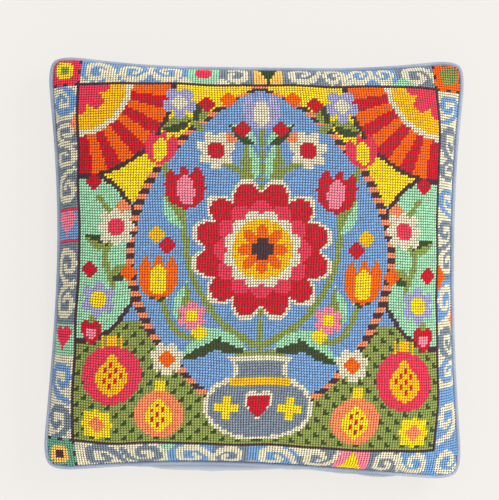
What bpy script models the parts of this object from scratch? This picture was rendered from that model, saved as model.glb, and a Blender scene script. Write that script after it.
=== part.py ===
"""A square needlepoint cushion with a corded edge, lying on its back.

Three sewn pieces: the needlepoint canvas panel, the filled cushion that it covers, whose own cloth is the
plain back, and the cord that is sewn into the seam all the way round. The panel's top edge is towards +Y.
The origin is on the surface that the cushion lies on, under its middle.
"""

import math

import bmesh
import bpy
import numpy as np

# The canvas, in metres: ten stitches to the inch, and the half width of its worked square laid flat
STITCH = 0.00254
STITCHES = 160
FLAT_HALF = STITCH * STITCHES / 2
PANEL_THICKNESS = 0.0025

# How the filled cushion stands, in metres
SEAM_HEIGHT = 0.046
FRONT_CROWN = 0.054

# The crown's profile, and how fast its steepness fades to the corners: 0 is as steep there, 1 fades with the height
CROWN_POWER = 3
STEEPNESS_FADE = 0.35
# The crown's edge: round in the middle of a side, and a thin wedge at the corners, where the power is higher
ROUND_EDGE = 0.5
WEDGE_EDGE = 0.95
WEDGE_SHARPNESS = 6

# The seam and its cord, in metres
CORD_DIAMETER = 0.005
SEWN_GAP = 0.0003
SEAM_STEP = 0.0004
BACK_EDGE = 0.0010

# Each corner before it is rounded: its place in plan and how far it droops below the seam, in metres
CORNERS = {
    "far_left": {"across": -0.1980, "up": 0.1936, "droop": 0.004},
    "far_right": {"across": 0.1971, "up": 0.1983, "droop": 0.001},
    "near_left": {"across": -0.1958, "up": -0.1938, "droop": 0.003},
    "near_right": {"across": 0.1975, "up": -0.1985, "droop": 0.006},
}
# A corner's rounding: its pull along each axis as a share of the half width, and how close it keeps to the corner
CORNER_PULL = 0.027
CORNER_SHARPNESS = 14
DROOP_SHARPNESS = 6

# How far the filling draws each side in, a quarter, half and three quarters of the way along it, in metres.
# Left and right run from the near corner to the far one, near and far run from left to right.
# The bulge is how far the back swells out below the seam there.
SIDES = {
    "left": {"first": 0.0074, "middle": 0.0119, "last": 0.0091, "bulge": 0.003},
    "right": {"first": 0.0082, "middle": 0.0112, "last": 0.0091, "bulge": 0.003},
    "near": {"first": 0.0085, "middle": 0.0097, "last": 0.0058, "bulge": 0.009},
    "far": {"first": 0.0098, "middle": 0.0109, "last": 0.0098, "bulge": 0.003},
}

# The mesh: an even number of cells a side, closest together at the seam, and those either way that lie flat below
CELLS = 30
RESTING_CELLS = 6
CORD_SIDES_SETTING = 2
ARC_SAMPLES = 400

# Looks of the three materials: colour, roughness
PANEL_LOOK = ((0.42, 0.36, 0.33), 0.9)
BACK_LOOK = ((0.40, 0.48, 0.58), 0.85)
CORD_LOOK = ((0.42, 0.50, 0.60), 0.8)


def clear_scene():
    for obj in list(bpy.data.objects):
        bpy.data.objects.remove(obj, do_unlink=True)


def fabric(name, look):
    """A cloth material from its colour and roughness."""
    colour, roughness = look
    material = bpy.data.materials.new(name)
    material.use_nodes = True
    shader = material.node_tree.nodes["Principled BSDF"]
    shader.inputs["Base Color"].default_value = (*colour, 1)
    shader.inputs["Roughness"].default_value = roughness
    shader.inputs["Metallic"].default_value = 0
    return material


def edge_power(along):
    """How the crown meets the seam, at a place from -1 to 1 along a side."""
    return ROUND_EDGE + (WEDGE_EDGE - ROUND_EDGE) * np.abs(along) ** WEDGE_SHARPNESS


def crown(out, edge):
    """Height over the seam, from 1 in the middle to 0 at the seam, for this kind of edge."""
    return np.clip(1 - np.abs(out) ** CROWN_POWER, 0, 1) ** edge


def chord_share(share, steepness, edge):
    """How far out in plan a point of the cloth lies, when the cloth runs over the crown from middle to seam."""
    out = 1 - (1 - np.linspace(0, 1, ARC_SAMPLES)) ** 2
    length = np.cumsum(np.hypot(np.diff(out), steepness * np.diff(crown(out, edge))))
    length = np.concatenate([[0], length]) / length[-1]
    return np.sign(share) * np.interp(np.abs(share), length, out)


def over_crown(shares, steepness, edge):
    """chord_share for each row of a grid, which runs over the crown in its own way."""
    return np.array([chord_share(*row) for row in zip(shares, steepness, edge)])


def middle_rise(share, height):
    """Height over the seam, from 1 to 0, along a line through the middle of a sheet crowned this far."""
    return crown(chord_share(share, height / FLAT_HALF, ROUND_EDGE), ROUND_EDGE)


def drawn_in(side, along):
    """How far the filling draws this side in, with along from -1 to 1 between its corners."""
    row = SIDES[side]
    quarters = (row["first"] + row["last"]) / 2 / math.cos(math.pi / 4)
    main = (row["middle"] + quarters) / 2
    flatter = row["middle"] - main
    lean = (row["first"] - row["last"]) / 2
    turn = math.pi / 2 * along
    return main * np.cos(turn) + flatter * np.cos(3 * turn) - lean * np.sin(2 * turn)


def between(near, far, along):
    """A value that runs evenly from near to far as along goes from -1 to 1."""
    return near + (far - near) * (along + 1) / 2


def stations():
    """The grid's lines from -1 to 1, closest together at the seam."""
    return np.sin(np.pi / 2 * np.linspace(-1, 1, CELLS + 1))


def flat_grid():
    """The grid's points laid flat, as shares of the half width."""
    return np.meshgrid(stations(), stations(), indexing="ij")


def seam_height(p, q):
    """The seam's height, which droops towards each corner."""
    closeness = {
        "far_left": (1 - p) * (1 + q) / 4,
        "far_right": (1 + p) * (1 + q) / 4,
        "near_left": (1 - p) * (1 - q) / 4,
        "near_right": (1 + p) * (1 - q) / 4,
    }
    return SEAM_HEIGHT - sum(CORNERS[name]["droop"] * near**DROOP_SHARPNESS for name, near in closeness.items())


def plan(p, q, out_p, out_q):
    """Plan positions: the share out along each axis, laid between the drawn-in sides."""
    corner = CORNERS
    left = between(corner["near_left"]["across"], corner["far_left"]["across"], q) + drawn_in("left", q)
    right = between(corner["near_right"]["across"], corner["far_right"]["across"], q) - drawn_in("right", q)
    near = between(corner["near_left"]["up"], corner["near_right"]["up"], p) + drawn_in("near", p)
    far = between(corner["far_left"]["up"], corner["far_right"]["up"], p) - drawn_in("far", p)
    return between(left, right, out_p), between(near, far, out_q)


def crowned(height):
    """The grid in plan, and its rise over the seam from 0 to 1, on a sheet that is crowned to this height."""
    p, q = flat_grid()
    pull = 1 - CORNER_PULL * np.abs(p * q) ** CORNER_SHARPNESS
    steepness = height / FLAT_HALF * middle_rise(stations(), height) ** STEEPNESS_FADE
    edge = edge_power(stations())
    rise = crown(over_crown(p.T, steepness, edge).T, edge_power(q)) * crown(over_crown(q, steepness, edge), edge_power(p))
    x, y = plan(p, q, over_crown((p * pull).T, steepness, edge).T, over_crown(q * pull, steepness, edge))
    return x, y, rise


def front():
    """The outside of the needlepoint panel."""
    x, y, rise = crowned(FRONT_CROWN)
    return np.stack([x, y, seam_height(*flat_grid()) + FRONT_CROWN * rise], axis=-1)


def sheet_normals(points):
    """Unit normals of a grid of points, upwards."""
    normals = np.cross(np.gradient(points, axis=0), np.gradient(points, axis=1))
    return normals / np.linalg.norm(normals, axis=-1, keepdims=True)


def is_rim():
    """Which points of the grid lie on the seam."""
    rim = np.ones((CELLS + 1, CELLS + 1), bool)
    rim[1:-1, 1:-1] = False
    return rim


def under_panel(face, normals):
    """The filled cushion's top, which follows the panel from just beneath it and steps down at the seam."""
    points = face - (PANEL_THICKNESS + SEWN_GAP) * normals
    points[is_rim(), 2] -= SEAM_STEP
    return points


def resting_rise():
    """How far the back has sunk towards the surface it lies on, from 0 at the seam to 1 on a flat square."""
    p, q = flat_grid()
    resting = middle_rise(stations()[CELLS // 2 + RESTING_CELLS], SEAM_HEIGHT)
    along, across = (np.minimum(middle_rise(share, SEAM_HEIGHT) / resting, 1) for share in (p, q))
    return along ** (edge_power(q) / ROUND_EDGE) * across ** (edge_power(p) / ROUND_EDGE)


def back(normals):
    """The back: swollen out from just below the cord, and flat where it rests."""
    p, q = flat_grid()
    x, y, _ = crowned(SEAM_HEIGHT)
    rim = seam_height(p, q) - SEAM_STEP - BACK_EDGE - (PANEL_THICKNESS + SEWN_GAP) * normals[..., 2]
    height = rim * (1 - resting_rise())
    swell = np.sin(np.pi * np.clip(1 - height / (seam_height(p, q) - CORD_DIAMETER), 0, 1))
    sideways = np.where(p < 0, -SIDES["left"]["bulge"], SIDES["right"]["bulge"])
    endways = np.where(q < 0, -SIDES["near"]["bulge"], SIDES["far"]["bulge"])
    x += swell * sideways * np.abs(p) * (1 - q * q)
    y += swell * endways * np.abs(q) * (1 - p * p)
    return np.stack([x, y, height], axis=-1)


def around_rim(grid):
    """The grid's rim values in order, anticlockwise from the near left corner, each once."""
    return np.concatenate([grid[:-1, 0], grid[-1, :-1], grid[:0:-1, -1], grid[0, :0:-1]])


def cord_line(face, normals):
    """The cord's centreline: outside the seam by its radius, halfway down the layers sewn there."""
    line, lean = around_rim(face), around_rim(normals)[:, 2]
    tangent = np.roll(line, -1, axis=0) - np.roll(line, 1, axis=0)
    outward = np.stack([tangent[:, 1], -tangent[:, 0]], axis=-1)
    outward /= np.linalg.norm(outward, axis=-1, keepdims=True)
    line[:, :2] += outward * (CORD_DIAMETER / 2 + SEWN_GAP)
    line[:, 2] -= ((PANEL_THICKNESS + SEWN_GAP) * lean + SEAM_STEP + BACK_EDGE) / 2
    return line


def centre_of(line):
    """The middle of the cord's outline in plan."""
    return (line[:, :2].min(axis=0) + line[:, :2].max(axis=0)) / 2


def add_sheet(mesh, points):
    """Adds one grid of triangles through the points, facing up, and returns its faces."""
    verts = bmesh.ops.create_grid(mesh, x_segments=CELLS, y_segments=CELLS, size=1)["verts"]
    for vert in verts:
        column, row = (round((value + 1) / 2 * CELLS) for value in vert.co.xy)
        vert.co = points[column, row]
    squares = list({face for vert in verts for face in vert.link_faces})
    return bmesh.ops.triangulate(mesh, faces=squares, quad_method="FIXED")["faces"]


def closed_between(name, upper, lower, material, home):
    """A closed solid between two grids of points, joined along their rims."""
    mesh = bmesh.new()
    add_sheet(mesh, upper)
    bmesh.ops.reverse_faces(mesh, faces=add_sheet(mesh, lower))
    bmesh.ops.bridge_loops(mesh, edges=[edge for edge in mesh.edges if edge.is_boundary])
    bmesh.ops.triangulate(mesh, faces=mesh.faces[:])
    data = bpy.data.meshes.new(name)
    mesh.to_mesh(data)
    mesh.free()
    data.shade_smooth()
    data.set_sharp_from_angle(angle=math.radians(50))
    data.materials.append(material)
    home.objects.link(bpy.data.objects.new(name, data))


def make_cord(line, material, home):
    """The sewn-in cord, one closed ring."""
    curve = bpy.data.curves.new("piping", "CURVE")
    curve.dimensions = "3D"
    curve.bevel_depth = CORD_DIAMETER / 2
    curve.bevel_resolution = CORD_SIDES_SETTING
    spline = curve.splines.new("POLY")
    spline.points.add(len(line) - 1)
    for point, place in zip(spline.points, line):
        point.co = (*place, 1)
    spline.use_cyclic_u = True
    curve.materials.append(material)
    home.objects.link(bpy.data.objects.new("piping", curve))


def main():
    clear_scene()
    home = bpy.data.collections.new("needlepoint_cushion")
    bpy.context.scene.collection.children.link(home)
    face = front()
    normals = sheet_normals(face)
    underside = back(normals)
    middle = centre_of(cord_line(face, normals))
    face[..., :2] -= middle
    underside[..., :2] -= middle
    panel_underside = face - PANEL_THICKNESS * normals
    closed_between("needlepoint_panel", face, panel_underside, fabric("wool_on_canvas", PANEL_LOOK), home)
    closed_between("cushion", under_panel(face, normals), underside, fabric("back_cloth", BACK_LOOK), home)
    make_cord(cord_line(face, normals), fabric("cord_cloth", CORD_LOOK), home)


main()
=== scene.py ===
"""The looks of a square needlepoint cushion with a corded edge, lying on its back.

The front is worked stitch by stitch in wool over canvas, from a chart that the script paints. The canvas,
the back cloth and the cord follow the solids' surfaces, from the same named sizes.
"""

import math

import bmesh
import bpy
import numpy as np
from mathutils import Matrix, Vector


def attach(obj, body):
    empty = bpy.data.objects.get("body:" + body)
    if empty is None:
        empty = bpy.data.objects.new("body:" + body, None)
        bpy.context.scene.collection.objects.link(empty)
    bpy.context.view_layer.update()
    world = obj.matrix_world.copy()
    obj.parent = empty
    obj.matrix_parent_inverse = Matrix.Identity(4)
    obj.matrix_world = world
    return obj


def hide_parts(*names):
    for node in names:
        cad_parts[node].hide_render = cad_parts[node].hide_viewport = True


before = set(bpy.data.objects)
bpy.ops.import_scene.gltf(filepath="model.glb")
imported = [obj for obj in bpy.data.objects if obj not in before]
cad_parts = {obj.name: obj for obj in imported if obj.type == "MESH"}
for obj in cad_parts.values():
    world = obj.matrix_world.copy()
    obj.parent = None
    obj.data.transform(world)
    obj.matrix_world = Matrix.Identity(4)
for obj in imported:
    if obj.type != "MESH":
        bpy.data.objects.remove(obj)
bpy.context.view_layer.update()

# The canvas, in metres
STITCH = 0.00254
STITCHES = 160
FLAT_HALF = STITCH * STITCHES / 2
PANEL_THICKNESS = 0.0025

# How the filled cushion stands, in metres
SEAM_HEIGHT = 0.046
FRONT_CROWN = 0.054

# The crown's profile and its edge
CROWN_POWER = 3
STEEPNESS_FADE = 0.35
ROUND_EDGE = 0.5
WEDGE_EDGE = 0.95
WEDGE_SHARPNESS = 6

# The seam and its cord, in metres
CORD_DIAMETER = 0.005
SEWN_GAP = 0.0003
SEAM_STEP = 0.0004
BACK_EDGE = 0.0010

CORNERS = {
    "far_left": {"across": -0.1980, "up": 0.1936, "droop": 0.004},
    "far_right": {"across": 0.1971, "up": 0.1983, "droop": 0.001},
    "near_left": {"across": -0.1958, "up": -0.1938, "droop": 0.003},
    "near_right": {"across": 0.1975, "up": -0.1985, "droop": 0.006},
}
CORNER_PULL = 0.027
CORNER_SHARPNESS = 14
DROOP_SHARPNESS = 6

SIDES = {
    "left": {"first": 0.0074, "middle": 0.0119, "last": 0.0091, "bulge": 0.003},
    "right": {"first": 0.0082, "middle": 0.0112, "last": 0.0091, "bulge": 0.003},
    "near": {"first": 0.0085, "middle": 0.0097, "last": 0.0058, "bulge": 0.009},
    "far": {"first": 0.0098, "middle": 0.0109, "last": 0.0098, "bulge": 0.003},
}

# Cells a side: of the solids' grid, of the surface that stitches are laid on, and of the pieces beneath them
SOLID_CELLS = 30
RESTING_CELLS = 6
SURFACE_CELLS = 320
CANVAS_CELLS = 80
BODY_CELLS = 160
ARC_SAMPLES = 400

# One stitch as a plump bead of wool, in metres
STITCH_HALF_LENGTH = 0.00178
STITCH_HALF_WIDTH = 0.00102
STITCH_HALF_HEIGHT = 0.00085
STITCH_DIVE = 0.0009
STITCH_SINK = 0.0006
BEAD_SIDES = 5
BEAD_RINGS = 4

# How unevenly the stitches are worked: their slant's spread in radians, and the others' as shares
SLANT_SPREAD = 0.06
LENGTH_SPREAD = 0.04
WIDTH_SPREAD = 0.05
HEIGHT_SPREAD = 0.08
TONE_SPREAD = 0.05

# How much painted shade darkens a stitch where it dives into its holes, and along its lower sides
HOLE_SHADE = 0.5
SIDE_SHADE = 0.2

# How far the canvas lies below the stitches' surface, and how thick it is, in metres
CANVAS_SINK = 0.0012
CANVAS_THICKNESS = 0.0008

# The filling's lumps under the front, in metres
BROAD_LUMP = 0.0006
SMALL_LUMP = 0.0003

# The cord as sewn: a little fuller than its solid, so that it presses on the seam
CORD_FULLNESS = 1.05
CORD_WRINKLE = 0.02
CORD_RING = 16

# How far the swollen front hangs over its cord at a side's start, middle and end, in metres, and how steeply
# that fades inwards
OVERHANG = {
    "left": (0.0016, 0.0021, 0.0008),
    "right": (0.0022, 0.0019, 0.0013),
    "near": (0.0022, 0.0017, 0.0026),
    "far": (0.0026, 0.0019, 0.0013),
}
OVERHANG_FADE = 10

# How far the cord lies below the seam's line, and how far it is pulled across and up the cushion, in metres
CORD_DROP = 0.0018
CORD_SHIFT = (0.0006, -0.0003, 0)

# How much painted shade darkens the cloth in the seam's creases, where on the way out that starts, and over
# what share of the way it grows
SEAM_DARKNESS = 0.45
SEAM_DARK_START = 0.82
SEAM_DARK_REACH = 0.06

# The back cloth's slack below the seam on the near side and how much it varies, in metres, then how far from
# the side's middle it ends and over what length it fades, as shares of the half side
NEAR_SLACK = 0.0083
SLACK_WAVE = 0.0026
SLACK_END = 0.88
SLACK_FADE = 0.25

# The back cloth's broad gathers and its finer creases at the corners, in metres
GATHER = 0.0016
CREASE = 0.0018

# The photo's camera, in metres and degrees
AIM = (-0.0062, 0.0148, SEAM_HEIGHT)
CAMERA_DISTANCE = 2.3
CAMERA_LEAN = (-4.96, -2.8)
CAMERA_TURN = -0.78
LENS = 173.4
SENSOR = 36

# The room's soft lights: where each stands and how wide it is, in metres, and its power in watts
LIGHTS = {
    "window": {"place": (1.5, 0.9, 2.0), "size": 1.3, "power": 50},
    "fill": {"place": (-0.4, -1.2, 2.2), "size": 1.6, "power": 3},
    "near_fill": {"place": (0.1, -1.7, 0.45), "size": 1.0, "power": 12},
}
ROOM_COLOUR = (0.95, 0.97, 1.0, 1)
ROOM_LIGHT = 1.08

# The quarters that the front is worked in, across and up the canvas
QUARTERS = {
    "stitches_near_left": (0, 0),
    "stitches_near_right": (1, 0),
    "stitches_far_left": (0, 1),
    "stitches_far_right": (1, 1),
}

# Wool colours, as sRGB
WOOLS = {
    "crimson": (208, 18, 42),
    "rose": (240, 58, 88),
    "pink": (252, 140, 158),
    "coral": (255, 145, 94),
    "orange": (255, 106, 2),
    "tangerine": (255, 194, 8),
    "soft_gold": (255, 198, 96),
    "yellow": (253, 220, 24),
    "lilac": (172, 171, 208),
    "sky": (124, 165, 209),
    "slate": (130, 142, 154),
    "mint": (163, 217, 175),
    "sea": (102, 166, 134),
    "olive": (146, 160, 80),
    "pine": (62, 78, 44),
    "aubergine": (76, 50, 60),
    "cream": (230, 221, 190),
}

# The back cloth's, the cord's and the canvas's colours, as sRGB, and the cloths' threads, in metres
BACK_BLUE = (200, 205, 210)
BACK_DEEP = (152, 164, 180)
CORD_BLUE = (186, 193, 206)
CORD_DEEP = (98, 116, 146)
# The canvas's brown is darkened as painted shade for the holes between the stitches
CANVAS_SHADE_BROWN = (92, 80, 72)
BACK_THREAD = 0.0011
CORD_THREAD = 0.0009

# The floor: its colours, its own glow, and how far from the middle the cushion's painted shadow starts
# and ends
FLOOR_GREY = (70, 68, 66)
FLOOR_WHITE = (241, 238, 233)
FLOOR_SHADE = (138, 136, 134)
FLOOR_GLOW = 0.895
SHADE_START = 0.11
SHADE_END = 0.205
FLOOR_HALF = 12
FLOOR_GAP = 0.0003

# The chart's border, in stitches
BORDER = 11
FIELD_HALF = STITCHES / 2 - BORDER - 1

# One curl of the border's scroll, in stitches from its middle: along the side, and away from the edge. Its
# widths are those at its start, a quarter along and at its tip
CURL_TAILS = {
    "none": [],
    "link": [(-7.2, -4.2), (-5.4, 0.8)],
    "crest": [(-6.4, -6.2), (-6.0, -2.6), (-4.8, 1.2)],
}
CURL_WIDTHS = {
    "none": (2.0, 2.6, 1.9),
    "link": (1.7, 2.7, 1.9),
    "crest": (6.0, 2.6, 1.9),
}
CURL = [
    (-2.8, 3.6),
    (0, 4.2),
    (2.7, 3.0),
    (3.5, 0),
    (2.6, -3.0),
    (0, -4.0),
    (-2.1, -2.8),
    (-2.4, -0.7),
    (-0.9, 0.6),
]

# The cell's length that a curl is drawn for, and how far it may be pressed or stretched to fit another
CURL_CELL = 13
CURL_LEAST = 0.7
CURL_MOST = 1.25

# The border's sides, from left to right or from bottom to top. A row's columns are the cell's length in
# stitches, its ground, its motif and the motif's wool, and for a curl its tail, -1 if it is mirrored along
# the side, and -1 if it is turned over
SIDE_CELLS = {
    "far": [
        (13, "sky", "curl", "cream", "crest", -1, -1),
        (14, "sky", "curl", "cream", "link", -1, 1),
        (14, "sky", "curl", "cream", "link", 1, 1),
        (12, "mint", "square", "rose"),
        (13, "slate", "curl", "cream", "none", 1, -1),
        (11, "soft_gold", "triangle", "pine"),
        (14, "slate", "curl", "cream", "link", -1, 1),
        (10, "slate", "curl", "cream", "crest", -1, -1),
        (10, "sky", "curl", "cream", "link", -1, 1),
        (10, "sky", "curl", "cream", "link", 1, 1),
        (15, "slate", "curl", "cream", "link", -1, -1),
    ],
    "near": [
        (19, "cream", "curl", "slate", "link", -1, 1),
        (16, "cream", "curl", "slate", "link", 1, -1),
        (17, "sky", "curl", "cream", "link", -1, 1),
        (13, "slate", "curl", "cream", "link", 1, 1),
        (19, "sky", "curl", "cream", "link", -1, 1),
        (14, "slate", "curl", "cream", "link", -1, -1),
        (13, "pink", "triangle", "yellow"),
        (12, "slate", "curl", "cream", "link", -1, 1),
        (13, "sky", "curl", "cream", "link", 1, -1),
    ],
    "left": [
        (15, "cream", "curl", "slate", "link", 1, 1),
        (17, "cream", "curl", "sky", "link", 1, -1),
        (12, "mint", "heart", "rose"),
        (15, "slate", "curl", "cream", "link", -1, -1),
        (16, "slate", "curl", "cream", "link", 1, -1),
        (13, "sky", "barred heart", "pink"),
        (14, "slate", "curl", "cream", "link", -1, -1),
        (11, "slate", "curl", "cream", "link", -1, 1),
        (9, "slate", "curl", "cream", "link", 1, -1),
        (14, "cream", "curl", "sky", "link", -1, 1),
    ],
    "right": [
        (23, "sky", "curl", "cream", "link", 1, -1),
        (11, "cream", "curl", "sky", "link", -1, 1),
        (14, "cream", "curl", "slate", "link", 1, 1),
        (16, "sky", "curl", "cream", "link", 1, -1),
        (12, "slate", "curl", "cream", "link", -1, 1),
        (12, "cream", "curl", "slate", "link", 1, -1),
        (12, "cream", "curl", "sky", "link", 1, 1),
        (9, "cream", "curl", "slate", "link", -1, 1),
        (15, "cream", "curl", "slate", "link", 1, 1),
        (12, "cream", "curl", "sky", "link", 1, -1),
    ],
}

# Small wedges between the curls. A row's columns are its middle along the side, 1 if it stands on the inner
# edge, its depth and its wool
WEDGES = {
    "far": [(55, 1, 4, "mint"), (-28, 1, 3, "cream"), (-14, 1, 3, "cream"), (-67.5, 1, 3, "cream")],
    "near": [(-33, 1, 3, "mint"), (-33.5, 0, 2, "mint"), (-1, 0, 2, "coral"), (17, 1, 4, "cream")],
    "left": [(52.5, 1, 3, "coral")],
    "right": [(-19.5, 0, 4, "coral"), (-3.4, 1, 4, "orange")],
}
WEDGE_SLOPE = 1.3

# The corner blocks: left or right and near or far as -1 or 1, the ground, its ring or a curl, and its centre
BLOCKS = [
    (-1, 1, "rose", "yellow", "olive"),
    (1, 1, "orange", "olive", "olive"),
    (-1, -1, "sea", "soft_gold", "aubergine"),
    (1, -1, "sky", "curl", ""),
]
BLOCK_RING = 3.7
BLOCK_CENTRE = 1.8

# The field's motifs, in stitches from its middle. Each is worked again as a mirror image on the left
ROSETTE = (0, 5)

# Each stem's places, and its widths at its start, a quarter along and at its end
STEM_WIDTHS = (2.6, 2.4, 2.0)
STEMS = [
    [(0, -36), (0, 58)],
    [(1, -34), (14, -31), (30, -26), (37, -12)],
    [(2, -30), (16, -20), (26, -4), (29, 14), (28, 24)],
    [(2, 20), (8, 34), (19, 38)],
    [(62, -22), (55, -10), (58, 2), (54, 14), (60, 24)],
    [(22, 50), (30, 56), (34, 64)],
    [(29, 20), (34, 30), (37, 40)],
]

# Across, up, turn in degrees, length, width, upper wool and lower wool
LEAVES = [
    (5, -32, 22, 20, 8, "mint", "pine"),
    (14, -27, -30, 19, 7, "mint", "pine"),
    (30, -22, 100, 15, 7, "olive", "mint"),
    (34, -14, 30, 13, 6, "mint", "pine"),
    (3, 30, 80, 16, 7, "mint", "olive"),
    (29, 12, 62, 15, 7, "olive", "mint"),
    (2, 44, 40, 13, 6, "mint", "pine"),
    (56, -6, 150, 10, 6, "pine", "olive"),
    (57, 6, 20, 10, 6, "pine", "olive"),
    (26, 53, -20, 12, 6, "olive", "pine"),
    (24, 52, 110, 12, 6, "olive", "pine"),
]

# Across, up and wool
BERRIES = [
    (7, 50, "crimson"),
    (12, 46, "coral"),
    (35, 6, "crimson"),
    (39, 10, "tangerine"),
    (22, -26, "yellow"),
    (62, 30, "crimson"),
    (49, -4, "orange"),
    (64, -3, "crimson"),
    (51, 20, "coral"),
    (20, 60, "crimson"),
    (12, 62, "orange"),
]

# Across, up, turn in degrees, size, outer wool and inner wool
TULIPS = [
    (38, -5, 0, 7.5, "orange", "yellow"),
    (28, 28, -8, 7.5, "crimson", "pink"),
    (0, 58, 0, 7, "lilac", "cream"),
    (37, 43, 15, 6, "rose", "yellow"),
]

# Across, up, petals, reach, outer wool and inner wool
DAISIES = [
    (17, 42, 7, 7.5, "cream", "crimson"),
    (60, -14, 6, 7, "lilac", "yellow"),
    (54, 13, 8, 7.5, "cream", "rose"),
    (25, -20, 6, 5.5, "pink", "yellow"),
    (30, 60, 5, 6.6, "lilac", "cream"),
    (34, -36, 7, 6.5, "cream", "orange"),
    (59, -61, 8, 6.6, "yellow", "coral"),
]

# Across, up, size, outer wool and inner wool
POMEGRANATES = [
    (54, -42, 11, "rose", "tangerine"),
    (36, -57, 9, "coral", "yellow"),
]
HEARTS = [
    (62, -28, 4.6, "crimson", "pink"),
]


def linear(colour):
    """A colour's sRGB numbers as the linear light that materials take."""
    parts = np.array(colour) / 255
    light = np.where(parts <= 0.04045, parts / 12.92, ((parts + 0.055) / 1.055) ** 2.4)
    return tuple(float(x) for x in light)


# The surfaces, worked out as the solids' are


def edge_power(along):
    return ROUND_EDGE + (WEDGE_EDGE - ROUND_EDGE) * np.abs(along) ** WEDGE_SHARPNESS


def crown(out, edge):
    return np.clip(1 - np.abs(out) ** CROWN_POWER, 0, 1) ** edge


def chord_share(share, steepness, edge):
    out = 1 - (1 - np.linspace(0, 1, ARC_SAMPLES)) ** 2
    length = np.cumsum(np.hypot(np.diff(out), steepness * np.diff(crown(out, edge))))
    length = np.concatenate([[0], length]) / length[-1]
    return np.sign(share) * np.interp(np.abs(share), length, out)


def over_crown(shares, steepness, edge):
    return np.array([chord_share(*row) for row in zip(shares, steepness, edge)])


def middle_rise(share, height):
    return crown(chord_share(share, height / FLAT_HALF, ROUND_EDGE), ROUND_EDGE)


def drawn_in(side, along):
    row = SIDES[side]
    quarters = (row["first"] + row["last"]) / 2 / math.cos(math.pi / 4)
    main = (row["middle"] + quarters) / 2
    flatter = row["middle"] - main
    lean = (row["first"] - row["last"]) / 2
    turn = math.pi / 2 * along
    return main * np.cos(turn) + flatter * np.cos(3 * turn) - lean * np.sin(2 * turn)


def between(near, far, along):
    return near + (far - near) * (along + 1) / 2


def seam_height(p, q):
    closeness = {
        "far_left": (1 - p) * (1 + q) / 4,
        "far_right": (1 + p) * (1 + q) / 4,
        "near_left": (1 - p) * (1 - q) / 4,
        "near_right": (1 + p) * (1 - q) / 4,
    }
    droop = sum(CORNERS[name]["droop"] * near**DROOP_SHARPNESS for name, near in closeness.items())
    return SEAM_HEIGHT - droop


def plan(p, q, out_p, out_q):
    corner = CORNERS
    left = between(corner["near_left"]["across"], corner["far_left"]["across"], q) + drawn_in("left", q)
    right = between(corner["near_right"]["across"], corner["far_right"]["across"], q) - drawn_in("right", q)
    near = between(corner["near_left"]["up"], corner["near_right"]["up"], p) + drawn_in("near", p)
    far = between(corner["far_left"]["up"], corner["far_right"]["up"], p) - drawn_in("far", p)
    return between(left, right, out_p), between(near, far, out_q)


def even_steps(cells):
    """A grid's lines from -1 to 1, evenly spaced along the cloth."""
    return np.linspace(-1, 1, cells + 1)


def seam_steps(cells):
    """A grid's lines from -1 to 1, closest together at the seam."""
    return np.sin(np.pi / 2 * even_steps(cells))


def grid_of(steps):
    """Each grid point's place across and up, from one list of steps both ways."""
    return np.meshgrid(steps, steps, indexing="ij")


def crowned(height, steps):
    p, q = grid_of(steps)
    pull = 1 - CORNER_PULL * np.abs(p * q) ** CORNER_SHARPNESS
    steepness = height / FLAT_HALF * middle_rise(steps, height) ** STEEPNESS_FADE
    edge = edge_power(steps)
    along, across = over_crown(p.T, steepness, edge).T, over_crown(q, steepness, edge)
    rise = crown(along, edge_power(q)) * crown(across, edge_power(p))
    x, y = plan(p, q, over_crown((p * pull).T, steepness, edge).T, over_crown(q * pull, steepness, edge))
    return x, y, rise


def front(steps):
    """The outside of the needlepoint panel, on a grid of these steps."""
    p, q = grid_of(steps)
    x, y, rise = crowned(FRONT_CROWN, steps)
    return np.stack([x, y, seam_height(p, q) + FRONT_CROWN * rise], axis=-1)


def sheet_normals(points):
    normals = np.cross(np.gradient(points, axis=0), np.gradient(points, axis=1))
    return normals / np.linalg.norm(normals, axis=-1, keepdims=True)


def resting_rise(steps):
    p, q = grid_of(steps)
    resting = middle_rise(math.sin(math.pi * RESTING_CELLS / SOLID_CELLS), SEAM_HEIGHT)
    along, across = (np.minimum(middle_rise(share, SEAM_HEIGHT) / resting, 1) for share in (p, q))
    return along ** (edge_power(q) / ROUND_EDGE) * across ** (edge_power(p) / ROUND_EDGE)


def back(normals, steps):
    p, q = grid_of(steps)
    x, y, _ = crowned(SEAM_HEIGHT, steps)
    rim = seam_height(p, q) - SEAM_STEP - BACK_EDGE - (PANEL_THICKNESS + SEWN_GAP) * normals[..., 2]
    height = rim * (1 - resting_rise(steps))
    swell = np.sin(np.pi * np.clip(1 - height / (seam_height(p, q) - CORD_DIAMETER), 0, 1))
    sideways = np.where(p < 0, -SIDES["left"]["bulge"], SIDES["right"]["bulge"])
    endways = np.where(q < 0, -SIDES["near"]["bulge"], SIDES["far"]["bulge"])
    x += swell * sideways * np.abs(p) * (1 - q * q)
    y += swell * endways * np.abs(q) * (1 - p * p)
    return np.stack([x, y, height], axis=-1)


def around_rim(grid):
    """The grid's rim values in order, anticlockwise from the near left corner, each once."""
    return np.concatenate([grid[:-1, 0], grid[-1, :-1], grid[:0:-1, -1], grid[0, :0:-1]])


def outward_of(line):
    tangent = np.roll(line, -1, axis=0) - np.roll(line, 1, axis=0)
    outward = np.stack([tangent[:, 1], -tangent[:, 0], np.zeros(len(line))], axis=-1)
    return outward / np.linalg.norm(outward, axis=-1, keepdims=True)


def cord_line(face, normals):
    rim, lean = around_rim(face), around_rim(normals)[:, 2]
    line = rim + outward_of(rim) * (CORD_DIAMETER / 2 + SEWN_GAP)
    line[:, 2] -= ((PANEL_THICKNESS + SEWN_GAP) * lean + SEAM_STEP + BACK_EDGE) / 2
    return line


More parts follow.
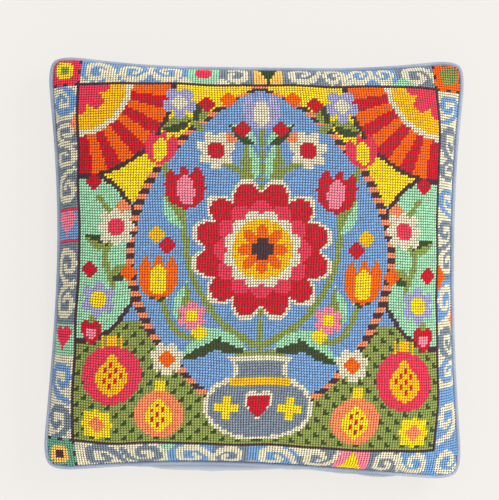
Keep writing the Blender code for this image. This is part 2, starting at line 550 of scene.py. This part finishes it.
def plan_centre():
    """Where the solids' frame has its origin in plan, from the same grid as theirs."""
    face = front(seam_steps(SOLID_CELLS))
    line = cord_line(face, sheet_normals(face))
    return (line.min(axis=0) + line.max(axis=0)) / 2 * (1, 1, 0)


CENTRE = plan_centre()


# The filling's lumps, and the canvas's wander over them


def lumps(u, v):
    """How far the filling pushes the front out or lets it sink, in metres."""
    broad = np.sin(5.1 * u + 0.8) * np.sin(4.3 * v + 2.1) + 0.7 * np.sin(8.7 * u - 1.9 * v + 1.0)
    small = np.sin(15.3 * v + 3.1 * u) * np.sin(13.1 * u + 0.5)
    return (BROAD_LUMP * broad + SMALL_LUMP * small) * (1 - u**6) * (1 - v**6)


def wander(u, v):
    """How far the canvas has shifted over the filling, as shares of the half width."""
    held = (1 - u**12) * (1 - v**12)
    across = 0.0030 * np.sin(11.3 * v + 1.2) + 0.0020 * np.sin(19.7 * v - 0.7 + 2 * u)
    along = 0.0032 * np.sin(12.1 * u + 0.4) + 0.0020 * np.sin(21.9 * u + 1.9 + 2 * v)
    return across * held, along * held


def along_side(name, along):
    """A side's overhang at places along it, from -1 to 1."""
    first, middle, last = OVERHANG[name]
    return middle + (last - first) / 2 * along + ((first + last) / 2 - middle) * along**2


def overhang(p, q):
    across = np.where(p < 0, -along_side("left", q), along_side("right", q)) * np.abs(p) ** OVERHANG_FADE
    up = np.where(q < 0, -along_side("near", p), along_side("far", p)) * np.abs(q) ** OVERHANG_FADE
    return np.stack([across, up, np.zeros_like(p)], axis=-1)


class Front:
    """The front's surface, fine enough to lay stitches on."""

    def __init__(self):
        steps = even_steps(SURFACE_CELLS)
        self.seam = front(steps) - CENTRE
        self.normals = sheet_normals(self.seam)
        self.points = self.seam + overhang(*grid_of(steps))

    def at(self, u, v, lift):
        """Places on the front, from flat places on the canvas and heights above the surface."""
        shift_u, shift_v = wander(u, v)
        p, q = on_grid(u + shift_u, v + shift_v)
        bump = lumps(p, q) + lift
        return sampled(self.points, p, q) + sampled(self.normals, p, q) * bump[..., None]


def on_grid(u, v):
    """The grid places of flat places on the canvas, undoing the pull on its corners."""
    pull = np.ones_like(u)
    for _ in range(6):
        pull = 1 - CORNER_PULL * np.minimum(np.abs(u * v / pull**2), 1.05) ** CORNER_SHARPNESS
    return u / pull, v / pull


def sampled(grid, p, q):
    """A grid's values at places from -1 to 1, evenly blended between its points."""
    cells = len(grid) - 1
    x, y = (np.clip((share + 1) / 2 * cells, 0, cells - 1e-6) for share in (p, q))
    i, j = x.astype(int), y.astype(int)
    a, b = (x - i)[..., None], (y - j)[..., None]
    low = grid[i, j] * (1 - a) + grid[i + 1, j] * a
    high = grid[i, j + 1] * (1 - a) + grid[i + 1, j + 1] * a
    return low * (1 - b) + high * b


# The chart: which wool each stitch is worked in


class Chart:
    """The front's chart, painted in stitches across and up from its middle."""

    def __init__(self, ground):
        self.names = list(WOOLS)
        places = np.arange(STITCHES) - (STITCHES - 1) / 2
        self.x, self.y = grid_of(places)
        self.wool = np.full(self.x.shape, self.names.index(ground))

    def fill(self, area, wool):
        self.wool[area] = self.names.index(wool)

    def pair(self, x, y, turn=0.0):
        """The chart's places as a motif and its mirror image see them, turned by degrees."""
        across, up = np.abs(self.x) - x, self.y - y
        cos, sin = math.cos(math.radians(turn)), math.sin(math.radians(turn))
        return across * cos + up * sin, up * cos - across * sin

    def side(self, name):
        """One side of the border: along it, then from the edge inwards."""
        turned = {
            "near": self.wool,
            "far": self.wool[:, ::-1],
            "left": self.wool.T,
            "right": self.wool[::-1].T,
        }
        return turned[name][BORDER + 1 : -BORDER - 1, :BORDER]


# Outlines of motifs, each the places inside it


def disc(place, across, up=None):
    return np.hypot(place[0] / across, place[1] / (up or across)) < 1


def square(place, across, up):
    """A square with rounded corners, from its half widths."""
    return np.abs(place[0] / across) ** 3 + np.abs(place[1] / up) ** 3 < 1


def petals(place, count, valley, tip, phase=0.0):
    """A ring of round petals that reach from the valleys between them to their tips."""
    angle = np.arctan2(place[1], place[0]) + math.radians(phase)
    return np.hypot(*place) < valley + (tip - valley) * np.abs(np.cos(count / 2 * angle)) ** 0.7


def leaf(place, length, width):
    """A pointed leaf, from the motif's place along its first axis."""
    share = np.clip(place[0] / length, 0, 1)
    return np.abs(place[1]) < width / 2 * np.sin(math.pi * share**0.8) - 0.1


def heart(place, size):
    across, up = np.abs(place[0]) / size, place[1] / size
    return across**2 + (1.05 * up - 0.75 * np.sqrt(across)) ** 2 < 0.8


def cup(place, size, points):
    """A tulip's cup, with pointed petals at its rim."""
    rim = size * (0.35 + 0.65 * np.abs(np.sin(math.pi * points / 2 * (place[0] / size + 1))))
    return disc(place, size, size * 1.15) & (place[1] < rim)


def stroke(place, points, widths):
    """The places on a smooth line, from its widths at its start, a quarter along and at its end."""
    line = smooth_line(points)
    reach = np.interp(np.linspace(0, 1, len(line)), (0, 0.25, 1), widths) / 2
    return np.max([np.hypot(place[0] - x, place[1] - y) < far for (x, y), far in zip(line, reach)], axis=0)


def smooth_line(points, steps=40):
    """Closely spaced places on a smooth line through the points."""
    points = np.array([points[0], *points, points[-1]], dtype=float)
    share = np.linspace(0, 1, steps, endpoint=False)[:, None]
    line = []
    for before, start, end, after in zip(points, points[1:], points[2:], points[3:]):
        bend = (2 * before - 5 * start + 4 * end - after) * share**2
        twist = (3 * start - before - 3 * end + after) * share**3
        line.extend(start + ((end - before) * share + bend + twist) / 2)
    return [*line, points[-1]]


# The field


def work_grounds(chart):
    x, y = np.abs(chart.x), chart.y
    chart.fill(y > 22, "yellow")
    chart.fill(y < -22, "olive")
    chart.fill((y < -22) & ((x + y) % 6 < 1.6) & ((x - y) % 6 < 3), "pine")
    side = chart.pair(68, 2)
    chart.fill(disc(side, 25, 33), "aubergine")
    chart.fill(disc(side, 23.5, 31.5), "mint")
    sun = chart.pair(68, 68)
    ray = np.floor(np.degrees(np.arctan2(sun[1], sun[0])) / 9)
    chart.fill(disc(sun, 37), "aubergine")
    chart.fill(disc(sun, 35.5), "crimson")
    chart.fill(disc(sun, 35.5) & (ray % 2 == 0), "orange")
    chart.fill(disc(sun, 20.6), "cream")
    chart.fill(disc(sun, 18.4), "tangerine")
    chart.fill(petals(sun, 8, 8.5, 12.5), "rose")
    panel = 47 * np.cos(np.clip((y - 3) / 63, -1, 1) * math.pi / 2) ** 0.75
    rope = (x < panel + 3.4) & (y > -55)
    chart.fill(rope, "aubergine")
    chart.fill(rope & ((y + 0.5) % 4 < 2), "coral")
    chart.fill(x < panel, "sky")


def work_stems(chart):
    place = chart.pair(0, 0)
    for points in STEMS:
        chart.fill(stroke(place, points, STEM_WIDTHS), "olive")
    for x, y, turn, length, width, upper, lower in LEAVES:
        place = chart.pair(x, y, turn)
        chart.fill(leaf(place, length, width), lower)
        chart.fill(leaf(place, length, width) & (place[1] > 0), upper)
    for x, y, wool in BERRIES:
        chart.fill(disc(chart.pair(x, y), 2.7), wool)


def work_rosette(chart):
    """The large flower in the middle."""
    place = chart.pair(*ROSETTE)
    chart.fill(petals(place, 12, 21, 27, 15), "cream")
    chart.fill(petals(place, 12, 19, 25, 15), "crimson")
    chart.fill(petals(place, 12, 15, 18.5), "rose")
    chart.fill(petals(place, 12, 12.5, 14.5, 15), "cream")
    chart.fill(disc(place, 11), "tangerine")
    chart.fill(petals(place, 8, 3.5, 9.5), "orange")
    chart.fill(petals(place, 8, 2, 4.5, 22), "aubergine")


def work_vase(chart):
    place = chart.pair(0, -53)
    chart.fill(disc(place, 20, 13.5), "cream")
    chart.fill(disc(place, 18.5, 12), "slate")
    flare = 0.12 * (place[1] - 14) ** 2
    chart.fill((np.abs(place[0]) < 9.5 + flare) & (place[1] > 8) & (place[1] < 19), "cream")
    chart.fill((np.abs(place[0]) < 8 + flare) & (place[1] > 8) & (place[1] < 17.5), "slate")
    chart.fill((np.abs(place[1] - 9.5) < 1.1) & (np.abs(place[0]) < 11), "tangerine")
    chart.fill(heart(chart.pair(0, -54), 5.6), "cream")
    chart.fill(heart(chart.pair(0, -54), 4.4), "crimson")
    chart.fill(petals(chart.pair(11.5, -53.5), 4, 1.8, 4.4), "yellow")


def work_flowers(chart):
    for x, y, turn, size, outer, inner in TULIPS:
        place = chart.pair(x, y, turn)
        chart.fill(cup(place, size, 3), outer)
        chart.fill(disc((place[0], place[1] + size / 4), size * 0.45, size * 0.75), inner)
    for x, y, count, reach, outer, inner in DAISIES:
        place = chart.pair(x, y)
        chart.fill(petals(place, count, reach * 0.6, reach, 90), outer)
        chart.fill(disc(place, reach * 0.42), inner)
    for x, y, size, outer, inner in POMEGRANATES:
        place = chart.pair(x, y)
        tuft = (np.abs(place[0]) < size * 0.32) & (place[1] > 0) & (place[1] < size * 1.4)
        chart.fill(tuft & (np.abs(place[0]) % 2.6 < 1.6), inner)
        chart.fill(disc(place, size), outer)
        chart.fill(leaf((place[1] + size * 0.75, place[0]), size * 1.5, size * 1.1), inner)
        seeds = ((place[0] + place[1]) % 4 < 1.7) & ((place[0] - place[1]) % 4 < 1.7)
        chart.fill(seeds & leaf((place[1] + size * 0.55, place[0]), size * 1.1, size * 0.8), "crimson")
    for x, y, size, outer, inner in HEARTS:
        place = chart.pair(x, y)
        chart.fill(heart(place, size), outer)
        chart.fill(heart(place, size * 0.5), inner)


# The border


def work_side(chart, name):
    side = chart.side(name)
    places = np.arange(len(side)) + 0.5 - FIELD_HALF
    along, depth = np.meshgrid(places, np.arange(BORDER) + 0.5, indexing="ij")
    ends = np.cumsum([cell[0] for cell in SIDE_CELLS[name]]) - FIELD_HALF
    for (length, ground, *_), end in zip(SIDE_CELLS[name], ends):
        side[(along > end - length) & (along < end)] = chart.names.index(ground)
    for (length, _, motif, wool, *turns), end in zip(SIDE_CELLS[name], ends):
        scale = min(max(length / CURL_CELL, CURL_LEAST), CURL_MOST)
        from_middle = along - end + length / 2
        if motif == "barred heart":
            side[np.abs(np.abs(from_middle) - length / 2 + 0.5) < 0.6] = chart.names.index("rose")
        place = (from_middle / scale, depth - BORDER / 2)
        side[in_cell(place, motif, *turns)] = chart.names.index(wool)
    for middle, inner, tall, wool in WEDGES[name]:
        height = BORDER - depth if inner else depth
        side[np.abs(along - middle) < WEDGE_SLOPE * (tall - height)] = chart.names.index(wool)


def curl(place, tail):
    """One curl of the scroll, with this tail."""
    return stroke(place, CURL_TAILS[tail] + CURL, CURL_WIDTHS[tail])


def in_cell(place, motif, tail="none", mirror=1, over=1):
    """The places inside a cell's motif."""
    if motif == "curl":
        return curl((place[0] * mirror, place[1] * over), tail)
    if motif == "square":
        return square((place[0], place[1] + 1), 3.2, 3.6)
    if motif == "triangle":
        return np.abs(place[0]) < (BORDER / 2 - place[1]) / 2.2
    return heart((place[1], place[0]), 4.7)


def work_border(chart):
    reach = np.maximum(np.abs(chart.x), np.abs(chart.y))
    for name in SIDE_CELLS:
        work_side(chart, name)
    middle = FIELD_HALF + 1 + BORDER / 2
    for across, up, ground, ring, centre in BLOCKS:
        u, v = across * chart.x - middle, up * chart.y - middle
        block = np.minimum(u, v) > -BORDER / 2 - 1
        chart.fill(block, ground)
        if ring == "curl":
            chart.fill(block & curl((-u, v), "link"), "cream")
            continue
        dashes = block & (np.minimum(u, v) < -BORDER / 2) & ((np.maximum(u, v) + 1) % 5 < 2)
        chart.fill(dashes, "aubergine")
        chart.fill(square((u, v), BLOCK_RING, BLOCK_RING), ring)
        chart.fill(square((u, v), BLOCK_CENTRE, BLOCK_CENTRE), centre)
    chart.fill((reach > FIELD_HALF) & (reach < FIELD_HALF + 1), "aubergine")


def make_chart():
    chart = Chart("sky")
    work_grounds(chart)
    work_stems(chart)
    work_rosette(chart)
    work_vase(chart)
    work_flowers(chart)
    work_border(chart)
    return chart


# Stitches


def bead():
    """One stitch's bead, from its hole to the next one along X: its points, and its triangles."""
    mesh = bmesh.new()
    bmesh.ops.create_uvsphere(mesh, u_segments=BEAD_SIDES, v_segments=BEAD_RINGS, radius=1)
    bmesh.ops.rotate(mesh, verts=mesh.verts, matrix=Matrix.Rotation(math.pi / 2, 3, "Y"))
    bmesh.ops.triangulate(mesh, faces=mesh.faces[:])
    mesh.verts.index_update()
    points = np.array([vert.co for vert in mesh.verts])
    corners = np.array([[vert.index for vert in face.verts] for face in mesh.faces])
    mesh.free()
    return points, corners[np.argsort(points[corners, 2].sum(axis=1))]


def joined(name, places, corners, layers, home_map):
    """One mesh of many copies: places is (copies, points, 3), and layers are values for each point."""
    copies, size = places.shape[:2]
    mesh = bpy.data.meshes.new(name)
    mesh.vertices.add(copies * size)
    mesh.vertices.foreach_set("co", places.ravel())
    loops = (corners.ravel() + size * np.arange(copies)[:, None]).ravel()
    mesh.loops.add(len(loops))
    mesh.loops.foreach_set("vertex_index", loops)
    mesh.polygons.add(len(loops) // 3)
    mesh.polygons.foreach_set("loop_start", np.arange(0, len(loops), 3))
    mesh.update(calc_edges=True)
    for layer, (kind, field, values) in layers.items():
        mesh.attributes.new(layer, kind, "POINT").data.foreach_set(field, values.ravel())
    mesh.uv_layers.new(name="OFBake").uv.foreach_set("vector", home_map.reshape(-1, 2)[loops].ravel())
    mesh.shade_smooth()
    piece = bpy.data.objects.new(name, mesh)
    bpy.context.scene.collection.objects.link(piece)
    return piece


def laid(points, u, v, jitter):
    """The beads of stitches at these places: their points' flat places on the canvas, and their heights."""
    slant = math.pi / 4 + SLANT_SPREAD * jitter[:, 0:1]
    along = points[:, 0] * STITCH_HALF_LENGTH * (1 + LENGTH_SPREAD * jitter[:, 1:2])
    across = points[:, 1] * STITCH_HALF_WIDTH * (1 + WIDTH_SPREAD * jitter[:, 2:3])
    height = points[:, 2] * STITCH_HALF_HEIGHT * (1 + HEIGHT_SPREAD * jitter[:, 3:4])
    flat_u = u[:, None] + (along * np.cos(slant) - across * np.sin(slant)) / FLAT_HALF
    flat_v = v[:, None] + (along * np.sin(slant) + across * np.cos(slant)) / FLAT_HALF
    return flat_u, flat_v, height - STITCH_DIVE * points[:, 0] ** 2 - STITCH_SINK


def tints_with_painted_shade(points, wools, jitter):
    """The colours of stitches in these wools, with painted shade: darker at their holes and along their
    lower sides.
    """
    colours = np.array([linear(colour) for colour in WOOLS.values()])
    tone = 1 + TONE_SPREAD * jitter[:, 4:5]
    side = 1 - SIDE_SHADE + SIDE_SHADE * np.clip(points[:, 2] + 0.3, 0, 1)
    shade = (1 - HOLE_SHADE * np.abs(points[:, 0]) ** 3) * side
    tints = np.ones((len(wools), len(points), 4))
    tints[..., :3] = colours[wools][:, None, :] * (tone * shade)[..., None]
    return tints


def work_stitches(sheet, chart, material):
    """The whole front, a quarter at a time, each stitch a bead laid from lower left to upper right."""
    chance = np.random.default_rng(11)
    points, corners = bead()
    half = STITCHES // 2
    pieces = []
    for name, (right, up) in QUARTERS.items():
        columns, rows = (np.arange(first * half, (first + 1) * half) for first in (right, up))
        column, row = (axis.ravel() for axis in np.meshgrid(columns, rows, indexing="ij"))
        u, v = ((place + 0.5) / half - 1 for place in (column, row))
        kept = np.max(np.abs(on_grid(u, v)), axis=0) < 1
        jitter = chance.normal(0, 1, (kept.sum(), 6))
        flat_u, flat_v, lift = laid(points, u[kept], v[kept], jitter)
        yarn = np.stack(np.broadcast_arrays(points[:, 0], points[:, 1], jitter[:, 5:]), axis=-1)
        layers = {
            # Each stitch's wool colour, with painted shade at its holes and lower sides
            "wool": ("FLOAT_COLOR", "color", tints_with_painted_shade(points, chart.wool[column, row][kept], jitter)),
            "yarn": ("FLOAT_VECTOR", "vector", yarn),
        }
        home_map = np.clip(np.stack([flat_u + 1 - right, flat_v + 1 - up], axis=-1), 0, 1)
        piece = joined(name, sheet.at(flat_u, flat_v, lift), corners, layers, home_map)
        piece.data.materials.append(material)
        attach(piece, "root")
        pieces.append(piece)
    return pieces


# Sheets and the filled body


def add_sheet(mesh, layer, seam_shade, points):
    """Adds one grid of faces through the points, facing up, and keeps each point's place on the cloth."""
    cells = len(points) - 1
    verts = bmesh.ops.create_grid(mesh, x_segments=cells, y_segments=cells, size=1)["verts"]
    for vert in verts:
        flat = vert.co.xy
        column, row = (round((value + 1) / 2 * cells) for value in flat)
        vert[layer] = (flat[0] * FLAT_HALF, flat[1] * FLAT_HALF, 0)
        out = max(abs(flat[0]), abs(flat[1]))
        # Painted shade in the seam's crease: the cloth darkens towards its rim
        vert[seam_shade] = SEAM_DARKNESS * min(1, max(0, (out - SEAM_DARK_START) / SEAM_DARK_REACH))
        vert.co = points[column, row]
    return list({face for vert in verts for face in vert.link_faces})


def closed_between(name, upper, lower, material):
    """A closed piece between two grids of points, joined along their rims."""
    mesh = bmesh.new()
    layer = mesh.verts.layers.float_vector.new("cloth")
    seam_shade = mesh.verts.layers.float.new("seam_shade")
    add_sheet(mesh, layer, seam_shade, upper)
    bmesh.ops.reverse_faces(mesh, faces=add_sheet(mesh, layer, seam_shade, lower))
    bmesh.ops.bridge_loops(mesh, edges=[edge for edge in mesh.edges if edge.is_boundary])
    return finished(name, mesh, material)


def finished(name, mesh, material):
    data = bpy.data.meshes.new(name)
    mesh.to_mesh(data)
    mesh.free()
    data.shade_smooth()
    data.materials.append(material)
    piece = bpy.data.objects.new(name, data)
    bpy.context.scene.collection.objects.link(piece)
    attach(piece, "root")
    return piece


def make_canvas(sheet, material):
    """The canvas under the stitches."""
    u, v = grid_of(even_steps(CANVAS_CELLS))
    pull = 1 - CORNER_PULL * np.abs(u * v) ** CORNER_SHARPNESS
    upper = sheet.at(u * pull, v * pull, np.full_like(u, -CANVAS_SINK))
    lower = sheet.at(u * pull, v * pull, np.full_like(u, -CANVAS_SINK - CANVAS_THICKNESS))
    canvas = closed_between("canvas", upper, lower, material)
    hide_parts("needlepoint_panel")


def slack(p, q, height):
    """How far the back cloth hangs out below the seam on the near side, in metres."""
    share = np.clip(1 - height / (SEAM_HEIGHT - CORD_DIAMETER), 0, 1)
    hang = NEAR_SLACK - SLACK_WAVE * np.sin(2 * math.pi * p)
    reach = np.clip((SLACK_END - np.abs(p)) / SLACK_FADE, 0, 1)
    return hang * np.sin(math.pi * share**0.55) * reach**2 * (3 - 2 * reach) * np.clip(-q, 0, 1)


def puckers(p, q):
    """Gathers in the back cloth just below the seam, in metres, finer and deeper towards the corners."""
    out, along = np.maximum(np.abs(p), np.abs(q)), np.minimum(np.abs(p), np.abs(q)) * np.sign(p + q)
    broad = np.sin(31 * along + 1.3) + 0.6 * np.sin(53 * along - 0.4) + 0.5 * np.sin(17 * along + 2.2)
    fine = np.sin(118 * along + 0.9) + 0.7 * np.sin(87 * along + 2.0 + 9 * out)
    from_seam = np.clip((1 - out) / 0.012, 0, 1)
    broad_fade = np.clip((out - 0.6) / 0.3, 0, 1)
    fine_fade = np.clip((out - 0.8) / 0.12, 0, 1) * np.clip(along**2 * 1.4 - 0.25, 0, 1)
    from_corner = 1 - np.abs(p * q) ** 2
    taut = 1 - 0.8 * np.clip(-q, 0, 1) ** 4
    depth = GATHER * broad * broad_fade * (0.5 + along**2) + CREASE * fine * fine_fade
    return depth * from_seam * from_corner * taut


def make_body(material):
    """The filled cushion: its top lies under the canvas, and its back is the cloth that shows."""
    steps = seam_steps(BODY_CELLS)
    p, q = grid_of(steps)
    face = front(steps) - CENTRE
    normals = sheet_normals(face)
    top = face - (PANEL_THICKNESS + SEWN_GAP) * normals
    rim = np.maximum(np.abs(p), np.abs(q)) == 1
    top[rim, 2] -= SEAM_STEP
    under = back(normals, steps) - CENTRE
    under[..., 1] -= slack(p, q, under[..., 2])
    under += sheet_normals(under) * -puckers(p, q)[..., None]
    under[..., 2] = np.maximum(under[..., 2], 0)
    body = closed_between("cushion_body", top, under, material)
    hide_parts("cushion")


def dropped(line):
    """The cord's line, a little below the front's edge and uneven."""
    turn = np.linspace(0, 2 * math.pi, len(line), endpoint=False)
    line = line + CORD_SHIFT
    line[:, 2] -= CORD_DROP * (1 + 0.15 * np.sin(9 * turn + 1) + 0.10 * np.sin(23 * turn))
    return line


def make_cord(sheet, material):
    """The covered cord, swept round the seam."""
    line = cord_line(sheet.seam, sheet.normals)
    outward = outward_of(line)
    line = dropped(line)
    count = len(line)
    length = np.linalg.norm(np.roll(line, -1, axis=0) - line, axis=1)
    travelled = np.concatenate([[0], np.cumsum(length)])
    mesh = bmesh.new()
    layer = mesh.verts.layers.float_vector.new("cloth")
    seam_shade = mesh.verts.layers.float.new("seam_shade")
    verts = bmesh.ops.create_grid(mesh, x_segments=count, y_segments=CORD_RING, size=1)["verts"]
    for vert in verts:
        column = round((vert.co.x + 1) / 2 * count)
        turn = (vert.co.y + 1) * math.pi
        place, side = line[column % count], outward[column % count]
        distance = travelled[column]
        wrinkle = math.sin(2100 * distance + 2 * turn) * 0.5 + math.sin(1370 * distance - 3 * turn + 1) * 0.5
        radius = CORD_DIAMETER / 2 * (CORD_FULLNESS + CORD_WRINKLE * wrinkle)
        vert[layer] = (distance, turn * CORD_DIAMETER / 2, 0)
        # Painted shade where the cord presses into the seam: darkest on its inner side, less on its top and
        # underside, none outwards
        vert[seam_shade] = SEAM_DARKNESS * min(1, max(0, 0.45 - math.cos(turn)))
        vert.co = place + radius * (math.cos(turn) * side + math.sin(turn) * np.array((0, 0, 1)))
    bmesh.ops.remove_doubles(mesh, verts=mesh.verts, dist=1e-6)
    bmesh.ops.recalc_face_normals(mesh, faces=mesh.faces)
    cord = finished("piping_cord", mesh, material)
    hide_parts("piping")


# Materials


class Shade:
    """A socket in a material. Arithmetic on it adds Math nodes, and node() adds any other node."""

    def __init__(self, tree, socket=None):
        self.tree = tree
        self.socket = socket

    def node(self, kind, sockets, out=0, **settings):
        """A new node's output: its settings are set first, then its sockets' values or links."""
        made = self.tree.nodes.new("ShaderNode" + kind)
        for name, value in settings.items():
            setattr(made, name, value)
        for name, value in sockets.items():
            self.put(made.inputs[name], value)
        return Shade(self.tree, made.outputs[out])

    def put(self, socket, value):
        if isinstance(value, Shade):
            self.tree.links.new(value.socket, socket)
        else:
            socket.default_value = value

    def math(self, operation, *values):
        return self.node("Math", dict(enumerate(values)), operation=operation)

    def __add__(self, other):
        return self.math("ADD", self, other)

    def __sub__(self, other):
        return self.math("SUBTRACT", self, other)

    def __rsub__(self, other):
        return self.math("SUBTRACT", other, self)

    def __mul__(self, other):
        return self.math("MULTIPLY", self, other)

    __radd__ = __add__
    __rmul__ = __mul__

    def mixed(self, low, high):
        """A blend of two colours by this value."""
        return self.node("Mix", {0: self, 6: low, 7: high}, out=2, data_type="RGBA")

    def darkened(self, amount):
        """This colour made darker or lighter by a value round 1."""
        return self.node("VectorMath", {0: self, "Scale": amount}, operation="SCALE")


def look(name, roughness, sheen=0.0, shine=0.25):
    """A new material, a start for its nodes, and its shader."""
    material = bpy.data.materials.new(name)
    material.use_nodes = True
    shader = material.node_tree.nodes["Principled BSDF"]
    shader.inputs["Roughness"].default_value = roughness
    shader.inputs["Specular IOR Level"].default_value = shine
    shader.inputs["Sheen Weight"].default_value = sheen
    return material, Shade(material.node_tree), shader


def rgba(colour):
    return (*linear(colour), 1)


def wool_look():
    material, start, shader = look("tent_stitch_wool", 0.95, sheen=0.04, shine=0.06)
    # The wool attribute holds each stitch's colour with painted shade at its holes and lower sides
    wool = start.node("Attribute", {}, attribute_name="wool")
    yarn = start.node("Attribute", {}, out=1, attribute_name="yarn")
    along, across = (start.node("SeparateXYZ", {"Vector": yarn}, out=axis) for axis in (0, 1))
    spun = start.math("SINE", along * 7.0 + across * 5.0)
    place = start.node("TexCoord", {}, out=3)
    fuzz = start.node("TexNoise", {"Vector": place, "Scale": 2600.0, "Detail": 3.0})
    # The ply's twist lightens and darkens the wool a little along each stitch, painted shade of its grooves;
    # the fuzz varies its tone at random
    colour = wool.darkened(spun * 0.07 + fuzz * 0.30 + 0.85)
    start.put(shader.inputs["Base Color"], colour)
    bump = start.node("Bump", {"Height": spun * 0.5 + fuzz, "Distance": 0.00012, "Strength": 0.6})
    start.put(shader.inputs["Normal"], bump)
    return material


def weave_of(start, across, thread):
    """A plain weave from a place on the cloth, both ways, from 0 to 1."""
    count = 2 * math.pi / thread
    u, v = (start.node("SeparateXYZ", {"Vector": across}, out=axis) for axis in (0, 1))
    return start.math("SINE", u * count) * start.math("SINE", v * count) * 0.5 + 0.5


def canvas_look():
    material, start, shader = look("canvas", 0.95)
    cloth = start.node("Attribute", {}, out=1, attribute_name="cloth")
    weave = weave_of(start, cloth, STITCH)
    # The canvas's own brown, darkened as painted shade for the holes where it shows between the stitches
    colour = weave.mixed(rgba(CANVAS_SHADE_BROWN), rgba(tuple(x * 0.6 for x in CANVAS_SHADE_BROWN)))
    start.put(shader.inputs["Base Color"], colour)
    bump = start.node("Bump", {"Height": weave, "Distance": 0.0003, "Strength": 0.8})
    start.put(shader.inputs["Normal"], bump)
    return material


def cloth_look(name, light, deep, thread, turn):
    """Plain woven cotton with a slight slub, on the bias if turned."""
    material, start, shader = look(name, 0.92, sheen=0.1, shine=0.12)
    cloth = start.node("Attribute", {}, out=1, attribute_name="cloth")
    turned = start.node("Mapping", {"Vector": cloth, "Rotation": (0, 0, turn)})
    weave = weave_of(start, turned, thread)
    slub = start.node("TexNoise", {"Vector": turned, "Scale": 900.0, "Detail": 2.0})
    worn = start.node("TexNoise", {"Vector": turned, "Scale": 22.0, "Detail": 4.0})
    creased = start.node("TexNoise", {"Vector": turned, "Scale": 45.0, "Detail": 3.0, "Distortion": 0.6})
    blend = weave * 0.35 + slub * 0.35 + worn * 0.9 - 0.3
    # Painted shade in the seam's creases darkens the cloth's colour
    seam_shade = start.node("Attribute", {}, out=2, attribute_name="seam_shade")
    start.put(shader.inputs["Base Color"], blend.mixed(rgba(deep), rgba(light)).darkened(1 - seam_shade))
    relief = weave * 0.25 + slub * 0.2 + creased * 2.4
    bump = start.node("Bump", {"Height": relief, "Distance": 0.0014, "Strength": 0.8})
    start.put(shader.inputs["Normal"], bump)
    return material


# The floor, the light and the camera


def make_floor():
    mesh = bmesh.new()
    bmesh.ops.create_grid(mesh, x_segments=1, y_segments=1, size=FLOOR_HALF)
    bmesh.ops.translate(mesh, verts=mesh.verts, vec=(0, 0, -FLOOR_GAP))
    data = bpy.data.meshes.new("floor")
    mesh.to_mesh(data)
    mesh.free()
    material, start, shader = look("pale_floor", 0.95)
    shader.inputs["Base Color"].default_value = rgba(FLOOR_GREY)
    # A painted shadow under the cushion: near the middle the floor glows in the darker FLOOR_SHADE
    place = start.node("TexCoord", {}, out=3)
    x, y = (start.node("SeparateXYZ", {"Vector": place}, out=axis) for axis in (0, 1))
    from_middle = start.math("POWER", x * x * x * x + y * y * y * y, 0.25)
    shaded = {"Value": from_middle, "From Min": SHADE_START, "From Max": SHADE_END}
    clear = start.node("MapRange", shaded, interpolation_type="SMOOTHSTEP")
    start.put(shader.inputs["Emission Color"], clear.mixed(rgba(FLOOR_SHADE), rgba(FLOOR_WHITE)))
    shader.inputs["Emission Strength"].default_value = FLOOR_GLOW
    data.materials.append(material)
    floor = bpy.data.objects.new("floor", data)
    bpy.context.scene.collection.objects.link(floor)


def make_light(name, place, size, power):
    data = bpy.data.lights.new(name, "AREA")
    data.size = size
    data.energy = power
    light = bpy.data.objects.new(name, data)
    light.location = place
    light.rotation_euler = Vector(place).to_track_quat("Z", "Y").to_euler()
    bpy.context.scene.collection.objects.link(light)


def make_camera():
    lean_x, lean_y, turn = (math.radians(angle) for angle in (*CAMERA_LEAN, CAMERA_TURN))
    backward = Vector((math.tan(lean_x), math.tan(lean_y), 1)).normalized()
    right = Vector((math.sin(turn), math.cos(turn), 0)).cross(backward).normalized()
    up = backward.cross(right)
    data = bpy.data.cameras.new("camera")
    data.sensor_fit = "HORIZONTAL"
    data.sensor_width = SENSOR
    data.lens = LENS
    camera = bpy.data.objects.new("camera", data)
    turned = Matrix((right, up, backward)).transposed().to_4x4()
    camera.matrix_world = Matrix.Translation(Vector(AIM) + backward * CAMERA_DISTANCE) @ turned
    bpy.context.scene.collection.objects.link(camera)
    bpy.context.scene.camera = camera


def light_scene():
    world = bpy.data.worlds.new("room")
    world.use_nodes = True
    background = world.node_tree.nodes["Background"]
    background.inputs["Color"].default_value = ROOM_COLOUR
    background.inputs["Strength"].default_value = ROOM_LIGHT
    bpy.context.scene.world = world
    for name, row in LIGHTS.items():
        make_light(name, **row)
    bpy.context.scene.view_settings.view_transform = "Standard"


def main():
    make_camera()
    sheet = Front()
    stitches = work_stitches(sheet, make_chart(), wool_look())
    make_canvas(sheet, canvas_look())
    make_body(cloth_look("back_cloth", BACK_BLUE, BACK_DEEP, BACK_THREAD, 0))
    make_cord(sheet, cloth_look("cord_cloth", CORD_BLUE, CORD_DEEP, CORD_THREAD, math.pi / 4))
    make_floor()
    light_scene()


main()
